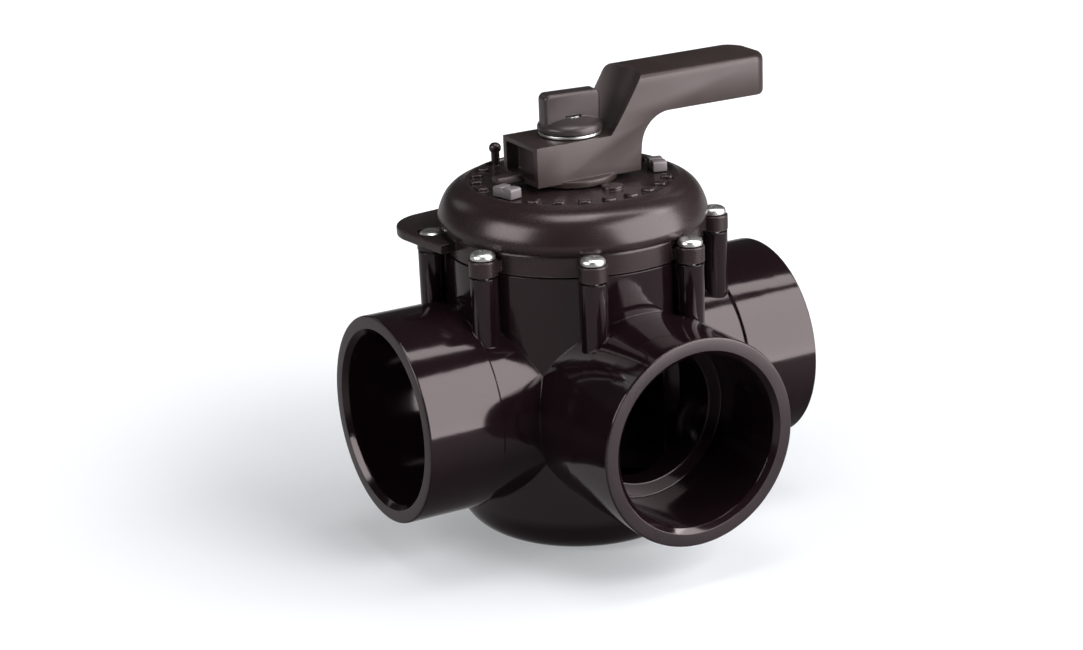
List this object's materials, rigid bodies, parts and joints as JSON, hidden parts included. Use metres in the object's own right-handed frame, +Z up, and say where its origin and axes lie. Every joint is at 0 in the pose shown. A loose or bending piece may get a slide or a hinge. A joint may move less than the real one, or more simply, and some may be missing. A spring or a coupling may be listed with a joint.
{
  "type": "three way diverter valve",
  "caption": "Plastic three way diverter valve with socket ports on three sides, a domed screwed cover, an inner plug on a stem, a cranked lever handle and a wing lock knob.",
  "frame": {"origin": "middle of the flat foot under the barrel, on the axis of the stem", "axes": "+Z up along the stem; -Y along the front port, away from the barrel; -X along the left port and +X along the right port, which is the one that the handle points to at rest"},
  "size_m": [0.156, 0.1322, 0.161],
  "materials": {
    "gloss_body": "very glossy moulded black plastic with a faint brown tint and sharp reflections",
    "satin_cover": "satin moulded black plastic with soft reflections",
    "satin_handle": "satin moulded black plastic, slightly lighter and rubbed along its edges",
    "diverter_plastic": "semi gloss black plastic, seen only through the ports",
    "stop_grey": "grey satin plastic",
    "rubber": "dull black lubricated rubber",
    "ptfe": "white low friction plastic",
    "stainless": "bright stainless steel"
  },
  "bodies": {
    "housing": {"valve_body": "gloss_body", "cover": "satin_cover", "cover_screw_1": "stainless", "cover_screw_2": "stainless", "cover_screw_3": "stainless", "cover_screw_4": "stainless", "cover_screw_5": "stainless", "cover_screw_6": "stainless", "cover_screw_7": "stainless", "cover_screw_8": "stainless", "cover_oring": "rubber", "stop_tab_1": "stop_grey", "stop_tab_2": "stop_grey"},
    "stem": {"diverter": "diverter_plastic", "diverter_seal": "rubber", "stem_oring_lower": "rubber", "stem_oring_upper": "rubber", "thrust_washer": "ptfe", "handle": "satin_handle"},
    "knob_carrier": {"knob_washer": "stainless"},
    "knob": {"lock_knob": "satin_handle", "knob_stud": "stainless"}
  },
  "joints": [
    {"name": "handle_turn", "type": "hinge", "parent": "housing", "child": "stem", "pos_m": [0, 0, 0.052], "axis": [0, 0, 1], "range_deg": [-180, 0]},
    {"name": "knob_lift", "type": "slide", "parent": "stem", "child": "knob_carrier", "axis": [0, 0, 1], "range_m": [0, 0.0025]},
    {"name": "knob_turn", "type": "hinge", "parent": "knob_carrier", "child": "knob", "pos_m": [0, 0, 0.1414], "axis": [0, 0, 1], "range_deg": [0, 720]}
  ],
  "couplings": [
    {"joint": "knob_turn", "follows": "knob_lift", "rad_per_m": 5026.5}
  ]
}
